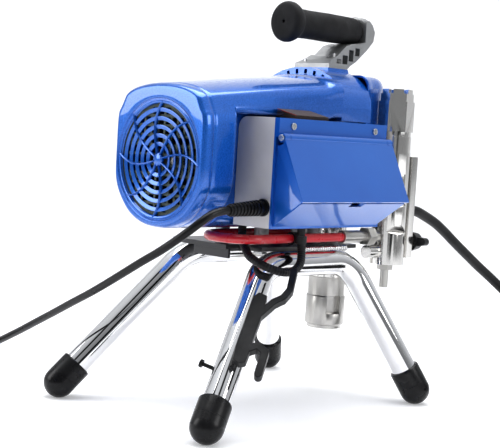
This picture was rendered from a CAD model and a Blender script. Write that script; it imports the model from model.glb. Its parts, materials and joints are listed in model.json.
import json
import math

import bmesh
import bpy
from mathutils import Matrix, Vector, noise

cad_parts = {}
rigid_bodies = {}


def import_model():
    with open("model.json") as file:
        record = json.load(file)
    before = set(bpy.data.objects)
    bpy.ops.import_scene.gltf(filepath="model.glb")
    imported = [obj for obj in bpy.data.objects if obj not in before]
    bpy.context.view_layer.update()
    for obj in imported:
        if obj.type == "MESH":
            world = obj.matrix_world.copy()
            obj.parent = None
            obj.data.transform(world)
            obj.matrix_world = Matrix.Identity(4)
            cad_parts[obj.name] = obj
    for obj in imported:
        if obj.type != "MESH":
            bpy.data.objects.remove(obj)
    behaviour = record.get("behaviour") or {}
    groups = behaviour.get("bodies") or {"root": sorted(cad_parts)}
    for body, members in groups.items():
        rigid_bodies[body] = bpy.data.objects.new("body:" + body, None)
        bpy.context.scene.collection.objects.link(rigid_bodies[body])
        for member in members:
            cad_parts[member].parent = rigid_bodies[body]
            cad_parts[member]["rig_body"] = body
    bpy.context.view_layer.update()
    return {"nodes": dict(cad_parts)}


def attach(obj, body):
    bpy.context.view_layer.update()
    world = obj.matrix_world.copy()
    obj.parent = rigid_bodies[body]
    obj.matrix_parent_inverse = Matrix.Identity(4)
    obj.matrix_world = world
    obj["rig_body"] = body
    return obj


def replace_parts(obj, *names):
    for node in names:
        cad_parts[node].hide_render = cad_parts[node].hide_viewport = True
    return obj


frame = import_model()
nodes = frame["nodes"]


def at(x, y, z):
    """A point given in millimetres from the middle of the stand, in the frame's metres."""
    return Vector(((x - 11.025) / 1000, (y + 3.675) / 1000, z / 1000))


# ---------------------------------------------------------------- camera
# A long lens close to the grip's height, at the rear corner on the control box side,
# turned a few degrees about its own axis.
yaw, pitch, roll = math.radians(44.06), math.radians(-4.372), math.radians(3.456)
look = Vector((math.cos(pitch) * math.cos(yaw), math.cos(pitch) * math.sin(yaw), math.sin(pitch)))
level_right = Vector((math.sin(yaw), -math.cos(yaw), 0))
level_up = level_right.cross(look)
right = math.cos(roll) * level_right + math.sin(roll) * level_up
up = math.cos(roll) * level_up - math.sin(roll) * level_right
camera = bpy.data.objects.new("camera", bpy.data.cameras.new("camera"))
camera.data.lens = 87.18
camera.data.sensor_width = 36
camera.data.clip_end = 60
aimed = Matrix((right, up, -look)).transposed().to_4x4()
camera.matrix_world = Matrix.Translation(at(-967.8, -934.0, 301.5)) @ aimed
bpy.context.scene.collection.objects.link(camera)
bpy.context.scene.camera = camera


# ---------------------------------------------------------------- mains cord
# A round three-core rubber cord that leaves the gland, drops past the rear leg to the floor
# and ends wound up beside the stand, with its moulded plug on the coil.
class Term:
    """A shader socket that takes part in sums."""

    def __init__(self, finish, socket):
        self.finish, self.socket = finish, socket

    def math(self, operation, *others):
        return self.finish.node("ShaderNodeMath", {"operation": operation},
                                dict(enumerate((self, *others))))

    def __add__(self, other):
        return self.math("ADD", other)

    def __radd__(self, other):
        return self.math("ADD", other)

    def __sub__(self, other):
        return self.math("SUBTRACT", other)

    def __rsub__(self, other):
        return (self * -1.0) + other

    def __mul__(self, other):
        return self.math("MULTIPLY", other)

    def __rmul__(self, other):
        return self.math("MULTIPLY", other)

    def __truediv__(self, other):
        return self.math("DIVIDE", other)

    def __gt__(self, other):
        return self.math("GREATER_THAN", other)

    def __lt__(self, other):
        return self.math("LESS_THAN", other)

    def __pow__(self, other):
        return self.math("POWER", other)


class Finish:
    """One finish of the sprayer: a material, its shader, and the nodes that vary it."""

    def __init__(self, name, colour, roughness, metallic=0.0, coat=0.0, coat_roughness=0.03):
        self.material = bpy.data.materials.new(name)
        self.material.use_nodes = True
        self.tree = self.material.node_tree
        self.shader = self.tree.nodes["Principled BSDF"]
        self.colour = (*colour, 1.0)
        self.material.diffuse_color = self.colour
        for socket, value in (("Base Color", self.colour), ("Roughness", roughness), ("Metallic", metallic),
                              ("Coat Weight", coat), ("Coat Roughness", coat_roughness)):
            self.shader.inputs[socket].default_value = value

    def node(self, kind, settings=None, sockets=None, output=0):
        made = self.tree.nodes.new(kind)
        for key, value in (settings or {}).items():
            if key == "stops":
                ramp = made.color_ramp.elements
                while len(ramp) < len(value):
                    ramp.new(0.5)
                for stop, (place, shade) in zip(ramp, value):
                    stop.position = place
                    stop.color = shade if hasattr(shade, "__len__") else (shade, shade, shade, 1.0)
            else:
                setattr(made, key, value)
        for key, value in (sockets or {}).items():
            if isinstance(value, Term):
                self.tree.links.new(value.socket, made.inputs[key])
            else:
                made.inputs[key].default_value = value
        return Term(self, made.outputs[output])

    def place(self, stretch=(1, 1, 1), turn=(0, 0, 0)):
        here = self.node("ShaderNodeTexCoord", output="Object")
        return self.node("ShaderNodeMapping", {}, {"Vector": here, "Scale": stretch, "Rotation": turn})

    def grain(self, scale, detail=3.0, stretch=(1, 1, 1), rough=0.5):
        return self.node("ShaderNodeTexNoise", {}, {"Vector": self.place(stretch), "Scale": scale,
                                                    "Detail": detail, "Roughness": rough}, output="Fac")

    def ramp(self, term, stops):
        return self.node("ShaderNodeValToRGB", {"stops": stops}, {"Fac": term}, output="Color")

    def blend(self, factor, first, second):
        made = self.node("ShaderNodeMix", {"data_type": "RGBA"}, {0: factor, 6: first, 7: second}, output=2)
        return made

    def feed(self, socket, term):
        self.tree.links.new(term.socket, self.shader.inputs[socket])
        return self

    def bump(self, height, distance, strength=1.0, over=None):
        sockets = {"Height": height, "Distance": distance, "Strength": strength}
        if over:
            sockets["Normal"] = over
        made = self.node("ShaderNodeBump", {}, sockets, output="Normal")
        self.feed("Normal", made)
        return made

    def tint(self, term, low, high):
        """Colour from low to high along a term from 0 to 1."""
        return self.feed("Base Color", self.blend(term, (*low, 1.0), (*high, 1.0)))


def rubber(name, dark, pale, roughness, grain_scale=900.0, depth=0.00006):
    """Black rubber or moulded plastic: a fine skin, a dusty bloom and duller worn patches."""
    made = Finish(name, dark, roughness)
    made.shader.inputs["Specular IOR Level"].default_value = 0.28
    bloom = made.ramp(made.grain(38.0, 4.0), [(0.42, 0.0), (0.78, 1.0)])
    made.tint(bloom, dark, pale)
    made.feed("Roughness", made.grain(60.0, 3.0) * 0.22 + (roughness - 0.11))
    made.bump(made.grain(grain_scale, 2.0), depth, 0.5)
    return made


def smoothed(route, steps):
    """A Catmull-Rom line through the route's inner points, with its first and last stretch left straight."""
    inner = [Vector(p) for p in route[1:-1]]
    line = [Vector(route[0])]
    for i in range(len(inner) - 1):
        a, b = inner[max(i - 1, 0)], inner[i]
        c, d = inner[i + 1], inner[min(i + 2, len(inner) - 1)]
        for k in range(steps):
            t = k / steps
            line.append(0.5 * (2 * b + (c - a) * t + (2 * a - 5 * b + 4 * c - d) * t * t
                               + (3 * b - a - 3 * c + d) * t ** 3))
    return line + [inner[-1], Vector(route[-1])]


def run_length(line):
    return sum((b - a).length for a, b in zip(line, line[1:]))


def ramp_up(a, b, t):
    f = min(max((t - a) / (b - a), 0), 1)
    return f * f * (3 - 2 * f)


def rises(t, share, layer):
    return (ramp_up(share * layer - 0.25, share * layer + 0.25, t)
            + rises(t, share, layer - 1)) if layer else 0


def wound(route, side, outer, pitch, thick, length, layers, end_z, step, move):
    """The coil that takes up the rest of a cord, layer on layer, by turns inwards and outwards."""
    rest = length - run_length(smoothed(route, 2))
    lean = pitch / layers / 2
    turns = (outer - math.sqrt(outer * outer - 2 * lean * rest / math.pi)) / (2 * lean)
    share = turns / layers
    last, before = Vector(route[-1]), Vector(route[-2])
    heading = math.atan2(last.y - before.y, last.x - before.x)
    start = last + thick * Vector((math.cos(heading), math.sin(heading), 0))
    across = heading + side * math.pi / 2
    middle = start + outer * Vector((math.cos(across), math.sin(across), 0))
    line = [last]
    for i in range(int(24 * turns) + 1):
        t = i / 24
        layer = min(int(t / share), layers - 1)
        inwards = t - layer * share if layer % 2 == 0 else share - (t - layer * share)
        r = outer - pitch * inwards - move * (max(t - turns + step, 0) / step) ** 2
        angle = heading - side * math.pi / 2 + side * 2 * math.pi * t
        z = thick / 2 + thick * 1.06 * rises(t, share, layers - 1)
        z += (end_z - z) * ramp_up(turns - 0.42, turns - step, t)
        line.append(Vector((middle.x + r * math.cos(angle), middle.y + r * math.sin(angle), z)))
    tail = line[-1] - line[-2]
    tail.z = 0
    return line + [line[-1] + thick * tail.normalized()]


def flex(name, line, thick, finish):
    """A round cord as one smooth open curve."""
    curve = bpy.data.curves.new(name, "CURVE")
    curve.dimensions = "3D"
    curve.resolution_u = 4
    curve.bevel_depth = thick / 2000
    curve.bevel_resolution = 3
    curve.use_fill_caps = True
    spline = curve.splines.new("BEZIER")
    spline.bezier_points.add(len(line) - 1)
    for knot, p in zip(spline.bezier_points, line):
        knot.co = at(*p)
        knot.handle_left_type = knot.handle_right_type = "AUTO"
    piece = bpy.data.objects.new(name, curve)
    bpy.context.scene.collection.objects.link(piece)
    curve.materials.append(finish.material)
    return piece


def shown(name, mesh, finish, body="base", edge=0.0, sharp=32, segments=2, rounds=0):
    """Turns a finished bmesh into a piece that rides on a body, with rounded edges if edge is given."""
    data = bpy.data.meshes.new(name)
    for face in mesh.faces:
        face.smooth = True
    mesh.to_mesh(data)
    mesh.free()
    piece = bpy.data.objects.new(name, data)
    bpy.context.scene.collection.objects.link(piece)
    data.materials.append(finish.material)
    if not rounds:
        data.set_sharp_from_angle(angle=math.radians(sharp))
    if edge:
        rounding = piece.modifiers.new("edges", "BEVEL")
        rounding.width = edge
        rounding.segments = segments
        rounding.limit_method = "ANGLE"
        rounding.angle_limit = math.radians(sharp)
        rounding.harden_normals = True
    if rounds:
        surface = piece.modifiers.new("surface", "SUBSURF")
        surface.levels = surface.render_levels = rounds
    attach(piece, body)
    return piece


def turned(profile, origin, axis, steps=64, mesh=None, start=(0, 0, 1)):
    """A lathe: spins a profile of (distance along the axis, radius) about the axis. Millimetres."""
    mesh = mesh or bmesh.new()
    along = Vector(axis).normalized()
    out = Vector(start)
    if abs(out.dot(along)) > 0.9:
        out = Vector((1, 0, 0))
    out = (out - out.dot(along) * along).normalized()
    base = at(*origin)
    closed = profile[0] == profile[-1]
    line = [mesh.verts.new(base + (along * h + out * r) / 1000)
            for h, r in profile[:-1 if closed else None]]
    edges = [mesh.edges.new(pair) for pair in zip(line, line[1:] + line[:1] if closed else line[1:])]
    bmesh.ops.spin(mesh, geom=line + edges, cent=base, axis=along, angle=2 * math.pi, steps=steps,
                   use_merge=True, use_normal_flip=False)
    bmesh.ops.remove_doubles(mesh, verts=mesh.verts, dist=2e-6)
    bmesh.ops.recalc_face_normals(mesh, faces=mesh.faces)
    return mesh


cord_d, cord_length = 8.4, 2000
cord_route = [(-126, -88.5, 222.3), (-134.4, -88.5, 221.8), (-146.5, -88.2, 218.9), (-157, -86, 212.6),
              (-165, -80.5, 204.5), (-170.5, -71, 195.5), (-173.5, -58.5, 186.5), (-175, -42, 176.5),
              (-175.5, -20, 165), (-174.5, 4, 152.5), (-172, 33, 138), (-168, 67, 122), (-163, 104, 106),
              (-157.5, 145, 88), (-151.5, 187, 70), (-145.5, 228, 52.5), (-140, 267, 36.5), (-136, 298, 23),
              (-133.5, 320, 12.5), (-132.5, 337, 6), (-132.5, 349, cord_d / 2), (-132.5, 358, cord_d / 2)]
cord_jacket = rubber("cord_jacket", (0.006, 0.006, 0.007), (0.014, 0.014, 0.015), 0.30)
cord_wound = wound(cord_route, 1, 54.9, cord_d + 0.8, cord_d, cord_length, 2, 35, 0.18, 20)
mains_cord = flex("mains_cord", smoothed(cord_route, 2) + cord_wound[1:], cord_d, cord_jacket)
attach(mains_cord, "base")
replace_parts(mains_cord, "power_cord", "cord_coil")

plug_pins = Finish("plug_pins", (0.62, 0.60, 0.55), 0.28, 1.0)
plug_pins.feed("Roughness", plug_pins.grain(180.0) * 0.2 + 0.18)
plug_pins.bump(plug_pins.grain(260.0), 0.0001, 0.4)
plug_start = cord_wound[-1]
plug_along = (cord_wound[-1] - cord_wound[-2]).normalized()
plug_side = Vector((-plug_along.y, plug_along.x, 0))
body_mesh = turned([(0, 0), (0, 5.2), (1.2, 6.1), (4, 6.3), (4.6, 5.6), (6.4, 5.6), (7, 6.6), (10, 6.9),
                    (10.6, 6.1), (12.4, 6.1), (13, 7.2), (16, 7.5), (16.6, 6.8), (18.4, 6.8), (19, 7.8),
                    (24, 8.6), (27, 12.2), (34, 13.6), (46, 15.4), (50, 17.3), (52.6, 17.5), (53.8, 16.6),
                    (54, 0)],
                   plug_start, plug_along, 48)
mains_plug = shown("mains_plug", body_mesh, cord_jacket, edge=0.0004)
pin_mesh = bmesh.new()
for offset in (-9.5, 9.5):
    turned([(52, 0), (52, 2.4), (71, 2.4), (72.6, 1.8), (73, 0.8), (73, 0)],
           plug_start + plug_side * offset, plug_along, 24, pin_mesh)
mains_plug_pins = shown("mains_plug_pins", pin_mesh, plug_pins)
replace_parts(mains_plug, "cord_plug")
at(*cord_route[0])


# ---------------------------------------------------------------- paint hose
# A braided high pressure hose in a smooth black cover, screwed to the outlet at one end,
# wound up on the floor beyond the pump, with its swivel coupling on the coil.
hose_d, hose_length = 12.2, 7500
hose_route = [(195, -61, 219), (207.2, -61, 219), (222, -61, 217), (244, -60, 210), (266, -60, 201),
              (288, -60, 189), (310, -60, 176), (340, -60, 159), (365, -60, 145), (388, -63, 131),
              (407, -70, 116), (421, -83, 100), (430, -100, 83), (434.5, -120, 66), (436, -140, 49),
              (436, -161, 33), (436, -184, 19), (436, -206, 10), (436, -226, hose_d / 2),
              (436, -238, hose_d / 2)]
hose_cover = rubber("hose_cover", (0.012, 0.012, 0.013), (0.030, 0.030, 0.031), 0.48, 500.0)
hose_wound = wound(hose_route, -1, 98, hose_d + 0.7, hose_d, hose_length, 4, 62.5, 0.12, 25)
long_hose = flex("long_hose", smoothed(hose_route, 2) + hose_wound[1:], hose_d, hose_cover)
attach(long_hose, "base")
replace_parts(long_hose, "paint_hose", "hose_coil")


def dressed(node, finish, edge=0.0004, sharp=32, body=None, segments=2, name=None):
    """A CAD piece with its triangles joined, its flat faces made whole and its edges rounded."""
    mesh = bmesh.new()
    mesh.from_mesh(nodes[node].data)
    bmesh.ops.remove_doubles(mesh, verts=mesh.verts, dist=4e-6)
    bmesh.ops.dissolve_degenerate(mesh, edges=mesh.edges, dist=1e-6)
    bmesh.ops.dissolve_limit(mesh, angle_limit=math.radians(0.6), verts=mesh.verts, edges=mesh.edges)
    piece = shown(name or "dressed_" + node, mesh, finish, body or nodes[node]["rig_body"], edge, sharp,
                  segments)
    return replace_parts(piece, node)


coupling_steel = Finish("coupling_steel", (0.60, 0.60, 0.61), 0.25, 1.0)
coupling_steel.feed("Roughness", coupling_steel.grain(240.0) * 0.22 + 0.16)
coupling_steel.bump(coupling_steel.grain(300.0, 4.0), 0.0001, 0.35)
hose_coupling = dressed("hose_connector", coupling_steel, 0.0005)
at(*hose_route[0])


# ---------------------------------------------------------------- studio
# A white paper sweep that the stand's rubber feet stand on, curving up behind the machine.
# The paper is matt and takes only soft shadows.
paper = Finish("studio_paper", (0.88, 0.88, 0.89), 0.9)
paper.tint(paper.grain(1.2, 2.0), (0.86, 0.865, 0.88), (0.90, 0.90, 0.905))
paper.shader.inputs["Emission Color"].default_value = (0.97, 0.98, 1.0, 1.0)
paper.shader.inputs["Emission Strength"].default_value = 0.22
paper_mesh = bmesh.new()
front_edge = [paper_mesh.verts.new((-4.5, y, -0.0004)) for y in (-5.0, 5.0)]
roll_edge = [paper_mesh.edges.new(front_edge)]
sheet_parts = bmesh.ops.extrude_edge_only(paper_mesh, edges=roll_edge)
moved = [v for v in sheet_parts["geom"] if isinstance(v, bmesh.types.BMVert)]
bmesh.ops.translate(paper_mesh, verts=moved, vec=(6.1, 0, 0))
bend_edges = [e for e in sheet_parts["geom"]
              if isinstance(e, bmesh.types.BMEdge) and all(v in moved for v in e.verts)]
bend = bmesh.ops.spin(paper_mesh, geom=moved + bend_edges, cent=(1.6, 0, 0.7), axis=(0, -1, 0),
                      angle=math.radians(86), steps=24)
wall = bmesh.ops.extrude_edge_only(paper_mesh, edges=[e for e in bend["geom_last"]
                                                      if isinstance(e, bmesh.types.BMEdge)])
bmesh.ops.translate(paper_mesh, verts=[v for v in wall["geom"] if isinstance(v, bmesh.types.BMVert)],
                    vec=(0.2, 0, 3.2))
turn_in = Matrix.Rotation(math.radians(44.06), 4, "Z")
bmesh.ops.transform(paper_mesh, matrix=turn_in, verts=paper_mesh.verts)
paper_data = bpy.data.meshes.new("paper_sweep")
for face in paper_mesh.faces:
    face.smooth = True
paper_mesh.to_mesh(paper_data)
paper_mesh.free()
paper_sweep = bpy.data.objects.new("paper_sweep", paper_data)
paper_data.materials.append(paper.material)
bpy.context.scene.collection.objects.link(paper_sweep)

sky = bpy.data.worlds.new("studio_sky")
bpy.context.scene.world = sky
sky.use_nodes = True
air = sky.node_tree
facing = air.nodes.new("ShaderNodeTexCoord")
# Bright overhead and beyond the machine, dim at the camera's back.
ahead = air.nodes.new("ShaderNodeVectorMath")
ahead.operation = "DOT_PRODUCT"
ahead.inputs[1].default_value = (0.66, 0.64, 0.42)
glow = air.nodes.new("ShaderNodeMapRange")
glow.interpolation_type = "SMOOTHSTEP"
for socket, value in (("From Min", -0.75), ("From Max", 0.85), ("To Min", 0.26), ("To Max", 0.98)):
    glow.inputs[socket].default_value = value
air.links.new(facing.outputs["Generated"], ahead.inputs[0])
air.links.new(ahead.outputs["Value"], glow.inputs["Value"])
# Black flags stand left and right of the machine, which draw dark bands along bright metal.
across = air.nodes.new("ShaderNodeVectorMath")
across.operation = "DOT_PRODUCT"
across.inputs[1].default_value = (0.32, -0.38, 0.0)
flags = air.nodes.new("ShaderNodeValToRGB")
ramp_stops = flags.color_ramp.elements
for place, shade in ((0.22, 1.0), (0.30, 1.0), (0.33, 0.03), (0.385, 0.03), (0.42, 1.0), (0.60, 1.0),
                     (0.63, 0.04), (0.70, 0.04), (0.735, 1.0)):
    ramp_stops.new(place).color = (shade, shade, shade, 1.0)
ramp_stops[0].color = (0.35, 0.35, 0.35, 1.0)
ramp_stops[len(ramp_stops) - 1].color = (0.55, 0.55, 0.55, 1.0)
centred = air.nodes.new("ShaderNodeMath")
centred.inputs[1].default_value = 0.5
dimmed = air.nodes.new("ShaderNodeMath")
dimmed.operation = "MULTIPLY"
air.links.new(facing.outputs["Generated"], across.inputs[0])
air.links.new(across.outputs["Value"], centred.inputs[0])
air.links.new(centred.outputs["Value"], flags.inputs["Fac"])
air.links.new(glow.outputs["Result"], dimmed.inputs[0])
air.links.new(flags.outputs["Color"], dimmed.inputs[1])
air.links.new(dimmed.outputs["Value"], air.nodes["Background"].inputs["Strength"])
air.nodes["Background"].inputs["Color"].default_value = (0.95, 0.97, 1.0, 1.0)


def softbox(name, place, size, power, aim=(0, 0, 0.25), shade=(1, 1, 1)):
    """A square studio lamp that looks at a point."""
    lamp = bpy.data.lights.new(name, "AREA")
    lamp.shape = "RECTANGLE"
    lamp.size, lamp.size_y = size
    lamp.energy = power
    lamp.color = shade
    holder = bpy.data.objects.new(name, lamp)
    holder.location = place
    holder.rotation_euler = (Vector(place) - Vector(aim)).to_track_quat("Z", "Y").to_euler()
    bpy.context.scene.collection.objects.link(holder)
    return holder


softbox("overhead", (0.1, 0.1, 1.75), (1.6, 1.3), 26)
softbox("left_key", (-1.5, 1.2, 0.9), (0.9, 1.2), 14)
softbox("right_fill", (0.7, -1.9, 1.0), (0.9, 0.9), 11)
bpy.context.scene.view_settings.view_transform = "Standard"
bpy.context.scene.view_settings.look = "Medium High Contrast"


# ---------------------------------------------------------------- tube stand
# Two steel tubes, each bent twice and bright chromium plated, one on each side.
# They lean outwards and are welded to the frame plate on their straight middles.
chrome = Finish("chrome_plate", (0.80, 0.80, 0.81), 0.05, 1.0)
smudge = chrome.ramp(chrome.grain(26.0, 5.0, (1, 1, 0.6)), [(0.45, 0.0), (0.8, 1.0)])
chrome.tint(smudge, (0.83, 0.83, 0.84), (0.70, 0.70, 0.71))
chrome.feed("Roughness", smudge * 0.10 + chrome.grain(420.0, 2.0) * 0.04 + 0.025)
chrome.bump(chrome.grain(75.0, 3.0), 0.00018, 0.35)

tube_r, foot_x, foot_y, foot_z, rail_z, rail_y = 14.3, 166.0, 117.0, 16.3, 161.6, 61.7
rear_corner, front_corner, bend_r = -40.8, 95.8, 45.0
leg_drop, leg_splay = rail_z - foot_z, foot_y - rail_y
leg_lean = math.atan2(leg_splay, leg_drop)
leg_slant = math.hypot(leg_drop, leg_splay)


def leg_mesh(side):
    """One tube: a ring at the rear foot, pulled and spun along straights and two bends."""
    down = Vector((0, side * math.sin(leg_lean), -math.cos(leg_lean)))
    bend_axis = Vector((1, 0, 0)).cross(down).normalized()
    rear_turn = math.atan2(leg_slant, rear_corner + foot_x)
    front_turn = math.atan2(leg_slant, foot_x - front_corner)

    def on(x, s):
        return at(x, side * rail_y, rail_z) + down * s / 1000
    mesh = bmesh.new()
    rear_dir = (on(rear_corner, 0) - on(-foot_x, leg_slant)).normalized()
    ring = bmesh.ops.create_circle(mesh, cap_ends=False, radius=tube_r / 1000, segments=56)["verts"]
    place = rear_dir.to_track_quat("Z", "Y").to_matrix().to_4x4()
    place.translation = on(-foot_x, leg_slant) + rear_dir * 0.001
    bmesh.ops.transform(mesh, matrix=place, verts=ring)
    edges = list(mesh.edges)

    def pull(edges, vec, steps):
        for _ in range(steps):
            made = bmesh.ops.extrude_edge_only(mesh, edges=edges)["geom"]
            verts = [v for v in made if isinstance(v, bmesh.types.BMVert)]
            bmesh.ops.translate(mesh, verts=verts, vec=vec / steps)
            edges = [e for e in made
                     if isinstance(e, bmesh.types.BMEdge) and all(v in verts for v in e.verts)]
        return edges

    def round_bend(edges, centre, angle, steps):
        geom = list({v for e in edges for v in e.verts}) + edges
        made = bmesh.ops.spin(mesh, geom=geom, cent=centre, axis=bend_axis, angle=angle, steps=steps)
        return [e for e in made["geom_last"] if isinstance(e, bmesh.types.BMEdge)]
    cut_rear, cut_front = bend_r * math.tan(rear_turn / 2), bend_r * math.tan(front_turn / 2)
    rear_full = math.hypot(leg_slant, rear_corner + foot_x)
    front_full = math.hypot(leg_slant, foot_x - front_corner)
    edges = pull(edges, rear_dir * (rear_full - cut_rear - 1) / 1000, 3)
    edges = round_bend(edges, on(rear_corner + cut_rear, bend_r), rear_turn, 20)
    edges = pull(edges, Vector((front_corner - rear_corner - cut_rear - cut_front, 0, 0)) / 1000, 2)
    edges = round_bend(edges, on(front_corner - cut_front, bend_r), front_turn, 20)
    front_dir = (on(foot_x, leg_slant) - on(front_corner, 0)).normalized()
    pull(edges, front_dir * (front_full - cut_front - 1) / 1000, 3)
    bmesh.ops.recalc_face_normals(mesh, faces=mesh.faces)
    bmesh.ops.holes_fill(mesh, edges=[e for e in mesh.edges if e.is_boundary], sides=0)
    bmesh.ops.recalc_face_normals(mesh, faces=mesh.faces)
    return mesh


near_leg = shown("near_leg", leg_mesh(-1), chrome)
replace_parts(near_leg, "leg_tube_near")
far_leg = shown("far_leg", leg_mesh(1), chrome)
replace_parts(far_leg, "leg_tube_far")

# Four moulded rubber caps pushed onto the tube ends, with a rounded nose, a fine parting
# line and a thin lip at the open end. Each stands on a worn flat.
cap_rubber = rubber("cap_rubber", (0.007, 0.007, 0.008), (0.022, 0.022, 0.023), 0.28, 700.0)
cap_r = 17.25
cap_profile = [(-cap_r * math.sin(a), cap_r * math.cos(a))
               for a in [math.radians(90 - 5 * k) for k in range(18)]]
cap_profile += [(0, cap_r), (8, cap_r), (8.3, cap_r - 0.25), (8.6, cap_r), (25.8, cap_r),
                (26.6, cap_r - 0.1), (27.5, cap_r - 0.7), (28, cap_r - 1.5), (28, tube_r + 0.15),
                (22, tube_r + 0.15)]
caps = bmesh.new()
for ex in (-1, 1):
    for ey in (-1, 1):
        corner = rear_corner if ex < 0 else front_corner
        leg_dir = Vector((corner - ex * foot_x, -ey * leg_splay, leg_drop)).normalized()
        turned(cap_profile, (ex * foot_x, ey * foot_y, foot_z), leg_dir, 64, caps)
cut = bmesh.ops.bisect_plane(caps, geom=caps.verts[:] + caps.edges[:] + caps.faces[:],
                             plane_co=(0, 0, 0.0001), plane_no=(0, 0, 1), clear_inner=True)
bmesh.ops.holes_fill(caps, edges=[e for e in cut["geom_cut"] if isinstance(e, bmesh.types.BMEdge)], sides=0)
leg_caps = shown("leg_caps", caps, cap_rubber, edge=0.0)
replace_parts(leg_caps, "foot_caps")

# The frame plate: folded steel, black, bolted under the motor and welded to both tubes.
# Its weld beads were plated with the tubes and stay bright and rippled.
plate_paint = Finish("plate_paint", (0.020, 0.021, 0.023), 0.42, 0.0, 0.15)
plate_paint.tint(plate_paint.grain(45.0, 5.0), (0.015, 0.016, 0.018), (0.036, 0.037, 0.040))
plate_paint.feed("Roughness", plate_paint.grain(90.0) * 0.3 + 0.28)
plate_paint.bump(plate_paint.grain(650.0, 2.0), 0.00012, 0.5)
base_plate = dressed("frame_plate", plate_paint, 0.0006)

weld = Finish("plated_weld", (0.62, 0.62, 0.63), 0.22, 1.0)
weld.feed("Roughness", weld.grain(500.0, 4.0) * 0.3 + 0.10)
weld.bump(weld.grain(420.0, 5.0), 0.0009, 0.9)
beads = bmesh.new()
for side in (-1, 1):
    ring = bmesh.ops.create_circle(beads, cap_ends=True, radius=0.0030, segments=14)["verts"]
    place = Matrix.Rotation(math.radians(90), 4, "Y")
    place.translation = at(17, side * 61.2, 176.6)
    bmesh.ops.transform(beads, matrix=place, verts=ring)
    end = [f for f in beads.faces if all(v in ring for v in f.verts)]
    for k in range(96):
        made = bmesh.ops.extrude_face_region(beads, geom=end)["geom"]
        bmesh.ops.delete(beads, geom=end, context="FACES_ONLY")
        verts = [v for v in made if isinstance(v, bmesh.types.BMVert)]
        end = [f for f in made if isinstance(f, bmesh.types.BMFace)]
        bmesh.ops.translate(beads, verts=verts, vec=(0.00078, 0, 0))
        middle = sum((v.co for v in verts), Vector()) / len(verts)
        swell = (3.0 + 0.35 * math.sin(k * 1.35) + 0.4 * noise.noise((k * 0.5, side * 3.0, 0))) / 1000
        for v in verts:
            v.co = middle + (v.co - middle).normalized() * swell
bmesh.ops.recalc_face_normals(beads, faces=beads.faces)
weld_beads = shown("weld_beads", beads, weld, sharp=70)

zinc = Finish("zinc_plate", (0.56, 0.57, 0.58), 0.30, 1.0)
zinc.tint(zinc.grain(120.0, 3.0), (0.48, 0.49, 0.50), (0.66, 0.67, 0.68))
zinc.feed("Roughness", zinc.grain(320.0, 3.0) * 0.28 + 0.16)
zinc.bump(zinc.grain(520.0, 3.0), 0.00008, 0.5)
plate_bolts = dressed("frame_bolts", zinc, 0.0004)


# ---------------------------------------------------------------- motor and drive
# The electric motor lies behind the rear grille: a finned aluminium case, a steel shaft and
# a nylon fan. At the front its pinion turns the gear whose crank lifts the piston.
die_cast = Finish("die_cast", (0.40, 0.41, 0.42), 0.42, 0.85)
die_cast.tint(die_cast.grain(70.0, 4.0), (0.34, 0.35, 0.36), (0.50, 0.51, 0.52))
die_cast.feed("Roughness", die_cast.grain(260.0, 3.0) * 0.25 + 0.32)
die_cast.bump(die_cast.grain(900.0, 3.0), 0.00012, 0.6)
bare_steel = Finish("bare_steel", (0.52, 0.52, 0.53), 0.22, 1.0)
bare_steel.feed("Roughness", bare_steel.grain(160.0, 3.0, (1, 1, 8)) * 0.22 + 0.12)
bare_steel.bump(bare_steel.grain(220.0, 4.0, (1, 1, 10)), 0.00005, 0.6)
oiled_steel = Finish("oiled_gear_steel", (0.30, 0.29, 0.28), 0.24, 1.0)
oiled_steel.tint(oiled_steel.grain(60.0, 3.0), (0.24, 0.23, 0.22), (0.38, 0.37, 0.35))
oiled_steel.bump(oiled_steel.grain(400.0, 3.0), 0.00006, 0.5)
fan_nylon = rubber("fan_nylon", (0.014, 0.014, 0.016), (0.035, 0.035, 0.038), 0.45)
for node, finish, edge in (("motor_body", die_cast, 0.0), ("motor_shaft", bare_steel, 0.0003),
                           ("motor_fan", fan_nylon, 0.0003), ("drive_pinion", oiled_steel, 0.0),
                           ("drive_gear", oiled_steel, 0.0), ("drive_housing", die_cast, 0.0006),
                           ("connecting_rod", oiled_steel, 0.0004), ("piston_rod", bare_steel, 0.0003)):
    dressed(node, finish, edge)


# ---------------------------------------------------------------- motor shroud
# One deep moulding over the motor: a domed crown, flat sides with a soft crease, a recess for
# the control box, and a rounded rear rim round the grille. Metallic blue with a clear coat.
blue_gloss = Finish("metallic_blue", (0.008, 0.125, 0.600), 0.30, 0.45, 1.0, 0.03)
flake = blue_gloss.node("ShaderNodeTexVoronoi", {}, {"Vector": blue_gloss.place(), "Scale": 2600.0},
                        output="Color")
sparkle = blue_gloss.ramp(blue_gloss.node("ShaderNodeRGBToBW", {}, {0: flake}), [(0.2, 0.0), (0.9, 1.0)])
depth_tone = blue_gloss.grain(9.0, 3.0)
blue_gloss.tint(depth_tone * 0.45 + sparkle * 0.35, (0.002, 0.085, 0.420), (0.010, 0.175, 0.680))
blue_gloss.feed("Roughness", sparkle * 0.16 + 0.22)
blue_gloss.bump(blue_gloss.grain(190.0, 2.0), 0.00004, 0.30)
motor_z = 267.0


def crown_z(x):
    return 345.7 + ((x + 145) * 0.118 if x < -30 else 13.57 + (x + 30) * 0.095)


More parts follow.
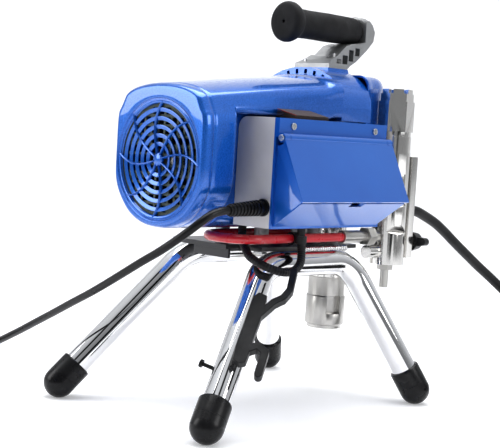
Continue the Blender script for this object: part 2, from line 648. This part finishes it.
def shroud_section(x, inset=0.0):
    """The shroud's outline at x in mm: crown, plain side, keel and box side, as (y, z)."""
    top, crease_y, w = crown_z(x), 59 + (x + 145) * 0.03, 69.0
    crease_z = top - 18
    dome = [(crease_y * math.sin(math.radians(15 * i)), top - 18 * (1 - math.cos(math.radians(15 * i))) * 0.94)
            for i in range(7)]
    plain = dome + [(crease_y + 1.5, crease_z - 1.5), (w - 4.5, crease_z - 9), (w - 1.2, 316), (w, 303),
                    (w, 290), (w, 277), (w, 264), (w, 250), (w - 2.5, 238), (w - 9, 226), (w - 20, 213),
                    (w - 31, 204.5), (22, 198.5), (8, 196.5)]
    boxed = dome + [(crease_y + 1.5, crease_z - 1.5), (w - 4.5, crease_z - 9), (w - 2.5, 325),
                    (w - 3.5, 318.5), (50, 318.2), (46, 314), (46, 300), (46, 284), (46, 267), (46, 250),
                    (46, 222), (49, 208), (22, 198.5), (8, 196.5)]
    other = [(-y, z) for y, z in (boxed if x > -101 else plain)][::-1][:-1]
    rise = 2.5 if x > 50 else 0
    line = [(y, z + (rise if z > 317 else 0)) for y, z in plain + other]
    out = []
    for i, (y, z) in enumerate(line):
        a, b = line[i - 1], line[(i + 1) % len(line)]
        t = Vector((b[0] - a[0], b[1] - a[1])).normalized()
        out.append((y + inset * t.y, z - inset * t.x))
    return out


def loft(sections, mesh=None):
    """Bridges closed rings of points, one after the other. Returns the mesh and its rings of edges."""
    mesh = mesh or bmesh.new()
    rings = []
    for points in sections:
        verts = [mesh.verts.new(p) for p in points]
        rings.append([mesh.edges.new((verts[i - 1], verts[i])) for i in range(len(verts))])
    for a, b in zip(rings, rings[1:]):
        bmesh.ops.bridge_loops(mesh, edges=a + b)
    return mesh, rings


def ring_at(x, inset):
    return [at(x, y, z) for y, z in shroud_section(x, inset)]


def round_ring(x, radius):
    ring = []
    for y, z in shroud_section(-145):
        out = Vector((y, z - motor_z)).normalized() * radius
        ring.append(at(x, out.x, motor_z + out.y))
    return ring


shroud_rings = [ring_at(x, d) for x, d in (
    (66, 0), (65, 0), (52, 0), (48, 0), (36, 0), (10, 0), (-20, 0), (-50, 0), (-80, 0), (-97, 0),
    (-100.5, 0), (-101.5, 0),
    (-105, 0), (-116, 0), (-126, 0), (-129.4, 0), (-130.6, 0.9), (-132.4, 0.9), (-133.6, 0), (-137, 0))]
shroud_rings += [ring_at(-140.8, 0.4), ring_at(-143.4, 1.5), ring_at(-144.8, 3.3), ring_at(-145, 4.5)]
shroud_rings += [round_ring(-145, 63.9), round_ring(-144.3, 63.4),
                 round_ring(-142.6, 63.0), round_ring(-141.9, 61.7), round_ring(-139, 61.5),
                 round_ring(-138.8, 63.5)]
shroud_mesh = bmesh.new()
crease = shroud_mesh.edges.layers.float.new("crease_edge")
shroud_edges = loft(shroud_rings, shroud_mesh)[1]
bmesh.ops.recalc_face_normals(shroud_mesh, faces=shroud_mesh.faces)
for ring, weight in ((shroud_edges[0], 1.0), (shroud_edges[10], 0.55), (shroud_edges[11], 0.55),
                     (shroud_edges[24], 0.6), (shroud_edges[27], 0.8), (shroud_edges[28], 0.8)):
    for e in ring:
        e[crease] = weight
shroud_shell = shown("shroud_shell", shroud_mesh, blue_gloss, rounds=2)
wall_mod = shroud_shell.modifiers.new("wall", "SOLIDIFY")
wall_mod.thickness, wall_mod.offset = 0.0025, -1
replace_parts(shroud_shell, "motor_shroud")

# The rear grille is moulded from the same blue: blades that curve out from a small hub and
# stand proud of sloped rings, with a coarse grey mesh screen inside.
grille_mesh = bmesh.new()
hub_r, hole_r, ring_pitch, blade_sweep = 7.0, 61.5, 53.0 / 6, 20.0
for k in range(1, 6):
    r = hub_r + ring_pitch * k
    turned([(0.9, r + 2.2), (0.7, r + 1.7), (1.9, r - 1.9), (2.7, r - 2.0), (2.9, r - 1.6), (1.7, r + 2.2),
            (0.9, r + 2.2)], (-145.0, 0, motor_z), (1, 0, 0), 96, grille_mesh)
turned([(1.4, 58.6), (0.4, 58.3), (0.2, 58.6), (0.2, 60.6), (0.9, 61.2), (0.9, 61.9), (0.3, 62.3),
        (0.3, 62.9), (2.9, 62.9), (2.9, 57.8), (2.6, 57.6), (1.4, 58.6)], (-145.0, 0, motor_z), (1, 0, 0),
       120, grille_mesh)
turned([(0, 0), (0, 5.2), (0.7, 6.6), (1.6, 7), (3.2, 7), (3.2, 0)], (-145.0, 0, motor_z), (1, 0, 0), 48,
       grille_mesh)
for k in range(8):
    start = math.radians(45 * k + 29)
    blade = []
    for i in range(19):
        r = 5.5 + 54.6 * i / 18
        f = max((r - hub_r) / (hole_r - hub_r), 0)
        a = start + math.radians(blade_sweep) * f * f
        blade.append(Vector((0, r * math.sin(a), -r * math.cos(a))))
    rings = []
    for i, p in enumerate(blade):
        t = (blade[min(i + 1, 18)] - blade[max(i - 1, 0)]).normalized()
        s = t.cross(Vector((1, 0, 0)))
        half = 1.35 if i > 1 else 1.0
        rings.append([at(*(Vector((-143.9 + dx, 0, motor_z)) + p + s * ds)) for dx, ds in
                      ((1.7, -half), (0.2, -half), (-1.5, -0.45), (-1.9, 0), (-1.5, 0.45), (0.2, half),
                       (1.7, half))])
    edges = loft(rings, grille_mesh)[1]
    bmesh.ops.holes_fill(grille_mesh, edges=edges[0] + edges[-1], sides=0)
bmesh.ops.recalc_face_normals(grille_mesh, faces=grille_mesh.faces)
fan_guard = shown("fan_guard", grille_mesh, blue_gloss, sharp=38)
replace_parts(fan_guard, "rear_grille")

screen_paint = Finish("screen_paint", (0.035, 0.050, 0.042), 0.55)
wires = screen_paint.node("ShaderNodeSeparateXYZ", {},
                          {0: screen_paint.place((900, 900, 900), (math.radians(45), 0, 0))})
across = wires.finish.node("ShaderNodeMath", {"operation": "SINE"},
                           {0: Term(screen_paint, wires.socket.node.outputs["Y"]) * 3.1})
along = wires.finish.node("ShaderNodeMath", {"operation": "SINE"},
                          {0: Term(screen_paint, wires.socket.node.outputs["Z"]) * 3.1})
weave = across.math("MAXIMUM", along) * 0.5 + 0.5
screen_paint.tint(weave, (0.010, 0.014, 0.012), (0.085, 0.115, 0.100))
screen_paint.bump(weave, 0.0004, 0.8)
fan_screen = dressed("grille_screen", screen_paint, 0.0)


# ---------------------------------------------------------------- vent collar and front cover
# Between shroud and drive sits a moulded collar that stands proud of the crown, with a row of
# cooling slots in its rear face. The front cover closes the drive in one deep rounded nose.
collar = dressed("vent_collar", blue_gloss, 0.0010, 30, segments=3)


def nose_section(x, w, top, bottom, rc):
    """The cover's outline at x: two rounded upper corners and straight sides. (y, z) in mm."""
    line = [(w - rc + rc * math.cos(a), top - rc + rc * math.sin(a))
            for a in [math.radians(15 * i) for i in range(7)]]
    line += [(-y, z) for y, z in line[::-1]]
    heights = (340, 318, 295, 272, 250, bottom + 6, bottom)
    return ([at(x, y, z) for y, z in line] + [at(x, -w, z) for z in heights]
            + [at(x, w * s, bottom) for s in (-0.4, 0.4)] + [at(x, w, z) for z in heights[::-1]])


pump_x, nose_r, cover_top, cover_bottom = 135.0, 52.0, 373.0, 215.0
nose_rings = [nose_section(118, 58, cover_top, cover_bottom, 14),
              nose_section(119, 58, cover_top, cover_bottom, 14),
              nose_section(127, 55, cover_top, cover_bottom, 14)]
for angle in (0, 12, 24, 36, 46, 56, 64, 71, 77, 81):
    w = nose_r * math.cos(math.radians(angle))
    fall = 14 * (1 - math.cos(math.radians(angle))) ** 2.2
    nose_rings.append(nose_section(pump_x + nose_r * math.sin(math.radians(angle)), w, cover_top - fall,
                                   cover_bottom, min(14, w * 0.7)))
nose_mesh, nose_edges = loft(nose_rings)
bmesh.ops.holes_fill(nose_mesh, edges=nose_edges[-1], sides=0)
bmesh.ops.recalc_face_normals(nose_mesh, faces=nose_mesh.faces)
nose_shell = shown("nose_shell", nose_mesh, blue_gloss, sharp=50)
nose_shell_wall = nose_shell.modifiers.new("wall", "SOLIDIFY")
nose_shell_wall.thickness, nose_shell_wall.offset = 0.0025, -1
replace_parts(nose_shell, "front_cover")
collar_screw = dressed("cover_screws", zinc, 0.0003)


# ---------------------------------------------------------------- carrying handle
# A cast arm bolted to the collar's roof and machined along its edges, with four cored pockets
# in its side, and a steel rod that carries a soft foam grip with a flared, vented end.
cast_grey = Finish("cast_arm", (0.33, 0.335, 0.34), 0.38, 0.75)
cast_grey.tint(cast_grey.grain(55.0, 4.0), (0.28, 0.285, 0.29), (0.42, 0.425, 0.43))
cast_grey.feed("Roughness", cast_grey.grain(300.0, 3.0) * 0.2 + 0.28)
cast_grey.bump(cast_grey.grain(1100.0, 3.0), 0.00010, 0.5)
carry_arm = dressed("handle_arm", cast_grey, 0.0009, segments=3)
grip_rod = dressed("handle_bar", bare_steel, 0.0)
arm_screws = dressed("handle_screws", zinc, 0.0004)

foam = rubber("grip_foam", (0.008, 0.008, 0.009), (0.020, 0.020, 0.022), 0.66, 1500.0, 0.00016)
pores = foam.node("ShaderNodeTexVoronoi", {}, {"Vector": foam.place(), "Scale": 900.0}, output="Distance")
foam.bump(pores * 0.7 + foam.grain(2600.0, 2.0) * 0.5, 0.00035, 0.55)
grip_profile = [(0.2, 0), (0.2, 1.6), (3.2, 1.7), (3.2, 0), (3.2, 1.7), (0.2, 1.9), (0, 2.6), (0, 15.5),
                (0.4, 18.4), (1.6, 20.6), (3.6, 22.1), (6, 22.6), (8.8, 22.4), (11.2, 21.6), (13.6, 20.4),
                (16.4, 18.4), (19, 17.2), (23, 16.6), (29, 16.2), (37, 16.0), (52, 16.1), (70, 16.4),
                (90, 16.2), (108, 16.0), (115, 15.9), (119, 15.4), (121.4, 14.4), (122.6, 12.6),
                (122.8, 10), (122.8, 7.1), (118, 7.1)]
grip_mesh = turned(grip_profile[4:], (23, -8, 425.5), (1, 0, 0), 72)
bmesh.ops.holes_fill(grip_mesh, edges=[e for e in grip_mesh.edges if e.is_boundary], sides=0)
bmesh.ops.subdivide_edges(grip_mesh, edges=[e for e in grip_mesh.edges if e.calc_length() > 0.008], cuts=3)
press_at, press_dir = at(128, -8, 425.5), Vector((0, -0.93, 0.37))
for v in grip_mesh.verts:
    from_axis = Vector((0, v.co.y - press_at.y, v.co.z - press_at.z))
    if from_axis.length > 0.012:
        turn = from_axis.normalized().angle(press_dir)
        reach = math.hypot((v.co.x - press_at.x) / 0.0135, turn / 0.72)
        if reach < 1:
            v.co -= from_axis.normalized() * 0.0019 * (1 - reach ** 2) ** 0.7
bmesh.ops.recalc_face_normals(grip_mesh, faces=grip_mesh.faces)
foam_grip = shown("foam_grip", grip_mesh, foam, sharp=60)
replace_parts(foam_grip, "handle_grip")


# ---------------------------------------------------------------- control box
# A grey fine-textured housing in the shroud's recess that carries the electronics. A blue
# folded sheet cover is screwed over its outer face and forms a tool tray with a hinged lid.
box_grey = Finish("box_grey", (0.37, 0.36, 0.35), 0.48, 0.25)
box_grey.tint(box_grey.grain(30.0, 4.0), (0.56, 0.54, 0.53), (0.68, 0.66, 0.65))
box_grey.feed("Roughness", box_grey.grain(500.0, 3.0) * 0.22 + 0.36)
box_grey.bump(box_grey.grain(1500.0, 4.0, rough=0.7), 0.00022, 0.8)
grey_housing = dressed("control_box", box_grey, 0.0007)
board_green = Finish("board_green", (0.02, 0.12, 0.05), 0.40)
board_green.tint(board_green.grain(150.0, 2.0), (0.015, 0.09, 0.04), (0.03, 0.16, 0.07))
board_green.bump(board_green.grain(700.0, 2.0), 0.0002, 0.6)
power_board = dressed("circuit_board", board_green, 0.0003)

blue_sheet = Finish("blue_sheet", (0.006, 0.110, 0.560), 0.34, 0.35, 1.0, 0.05)
blue_sheet.tint(blue_sheet.grain(11.0, 3.0), (0.003, 0.088, 0.420), (0.007, 0.140, 0.560))
blue_sheet.feed("Roughness", blue_sheet.grain(700.0, 2.0) * 0.16 + 0.26)
blue_sheet.bump(blue_sheet.grain(420.0, 2.0), 0.00003, 0.4)
tray_shell = dressed("tray_cover", blue_sheet, 0.0006, segments=3)
lid_panel = dressed("tray_lid", blue_sheet, 0.0009, segments=3)
pin_rod = dressed("hinge_pin", zinc, 0.0003)
panel_screws = dressed("box_screws", zinc, 0.0003)

knob_black = rubber("knob_black", (0.012, 0.012, 0.013), (0.030, 0.030, 0.032), 0.34)
control_knob = dressed("pressure_knob", knob_black, 0.0004)
rocker_cap = dressed("power_switch", knob_black, 0.0005)
strain_relief = dressed("cord_gland", cord_jacket, 0.0003)
card_stock = Finish("card_stock", (0.035, 0.028, 0.024), 0.55)
card_stock.tint(card_stock.grain(90.0, 3.0), (0.012, 0.010, 0.010), (0.085, 0.050, 0.035))
card_stock.feed("Roughness", card_stock.grain(200.0, 2.0) * 0.3 + 0.4)
card_stock.bump(card_stock.grain(160.0, 2.0), 0.0001, 0.4)
tray_cards = dressed("info_cards", card_stock, 0.0)
card_red = Finish("card_red", (0.45, 0.03, 0.02), 0.5)
card_red.tint(card_red.grain(40.0, 2.0), (0.40, 0.02, 0.015), (0.52, 0.05, 0.03))
card_faces = tray_cards.data.polygons
card_top = max(face.center.z for face in card_faces)
tray_cards.data.materials.append(card_red.material)
for face in card_faces:
    if abs(face.normal.z) < 0.5 and face.center.z > card_top - 0.0035:
        face.material_index = 1


# ---------------------------------------------------------------- pump
# A vertical piston pump: a stainless cylinder held by a slotted jam nut under the housing's
# arm, with the intake valve housing screwed onto its lower end.
stainless = Finish("stainless", (0.63, 0.62, 0.60), 0.24, 1.0)
stainless.tint(stainless.grain(18.0, 2.0), (0.66, 0.65, 0.63), (0.76, 0.75, 0.73))
stainless.feed("Roughness", stainless.grain(110.0, 1.0, (1, 1, 14)) * 0.04 + 0.13)
stainless.bump(stainless.grain(150.0, 2.0, (1, 1, 24)), 0.000004, 0.08)
satin_steel = Finish("satin_steel", (0.50, 0.49, 0.47), 0.38, 1.0)
satin_steel.tint(satin_steel.grain(50.0, 2.0), (0.46, 0.45, 0.43), (0.56, 0.55, 0.53))
satin_steel.feed("Roughness", satin_steel.grain(240.0, 1.0, (1, 1, 6)) * 0.03 + 0.30)
satin_steel.bump(satin_steel.grain(420.0, 2.0, (1, 1, 3)), 0.000004, 0.06)
pump_barrel = dressed("pump_cylinder", stainless, 0.0004)
ring_nut = dressed("jam_nut", satin_steel, 0.0006)
intake_body = dressed("intake_housing", satin_steel, 0.0005)
valve_ball = dressed("intake_ball", bare_steel, 0.0)
barrel_outlet = dressed("pump_outlet", stainless, 0.0004)


# ---------------------------------------------------------------- whip hose and conduit
# A short red high pressure hose runs from the pump round under the motor to the manifold,
# with crimped steel ends. A ribbed black conduit carries the motor's wires into the box.
red_cover = Finish("red_hose_cover", (0.50, 0.010, 0.022), 0.30, 0.0, 0.6, 0.08)
red_cover.tint(red_cover.grain(45.0, 3.0), (0.42, 0.008, 0.018), (0.60, 0.016, 0.030))
red_cover.feed("Roughness", red_cover.grain(120.0, 2.0) * 0.2 + 0.2)
red_cover.bump(red_cover.grain(320.0, 2.0), 0.00008, 0.5)
whip = dressed("red_hose", red_cover, 0.0, sharp=60)
whip_ends = dressed("hose_fittings", satin_steel, 0.0004)
conduit_black = rubber("conduit_black", (0.010, 0.010, 0.011), (0.028, 0.028, 0.030), 0.42)
conduit_route = [(-44, -30, 214), (-45, -30, 198), (-50, -36, 186), (-58, -50, 177), (-65, -64, 171),
                 (-62, -81, 164), (-45, -90, 158), (-27, -90, 158), (-13, -87, 165), (-5, -81, 177),
                 (-3, -77, 190), (-3, -77, 206)]
conduit_line = smoothed(conduit_route, 40)
rib_rings, out, run = [], Vector((1, 0, 0)), 0.0
for i, p in enumerate(conduit_line):
    ahead_p, behind_p = conduit_line[min(i + 1, len(conduit_line) - 1)], conduit_line[max(i - 1, 0)]
    t = (ahead_p - behind_p).normalized()
    out = (out - t * out.dot(t)).normalized()
    run += (p - behind_p).length
    r = 3.9 + 0.65 * abs(math.sin(math.pi * run / 3.0)) ** 0.6
    rib_rings.append([at(*(p + (out * math.cos(a) + t.cross(out) * math.sin(a)) * r))
                      for a in (math.radians(22.5 * k) for k in range(16))])
rib_mesh, rib_edges = loft(rib_rings)[:2]
bmesh.ops.holes_fill(rib_mesh, edges=rib_edges[0] + rib_edges[-1], sides=0)
bmesh.ops.recalc_face_normals(rib_mesh, faces=rib_mesh.faces)
conduit = shown("ribbed_conduit", rib_mesh, conduit_black, sharp=60)
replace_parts(conduit, "hose_conduit")
tube_clip = dressed("hose_clip", conduit_black, 0.0004)


# ---------------------------------------------------------------- manifold
# A stainless filter manifold beside the pump: a turned column with machined flats, the filter
# bowl and cap on top, the prime valve, the drain spout and the hose outlet.
filter_column = dressed("manifold_block", stainless, 0.0007, segments=3)
bowl = dressed("filter_bowl", stainless, 0.0006, segments=3)
cap_nut = dressed("filter_cap", stainless, 0.0008, segments=3)
mesh_tube = dressed("filter_element", satin_steel, 0.0)
valve_body = dressed("prime_valve", satin_steel, 0.0005)
prime_lever = dressed("prime_knob", knob_black, 0.0008, segments=3)
drain_pipe = dressed("drain_spout", satin_steel, 0.0005)
outlet_union = dressed("outlet_nipple", satin_steel, 0.0005)


# ---------------------------------------------------------------- gun hook
# A black moulded bracket clipped to the near rear leg, where the spray gun hangs, held by
# one screw through the tube.
hook_black = rubber("hook_black", (0.012, 0.012, 0.013), (0.034, 0.034, 0.036), 0.40)
gun_bracket = dressed("leg_hook", hook_black, 0.0009, segments=3)
bracket_screw = dressed("hook_screw", hook_black, 0.0003)
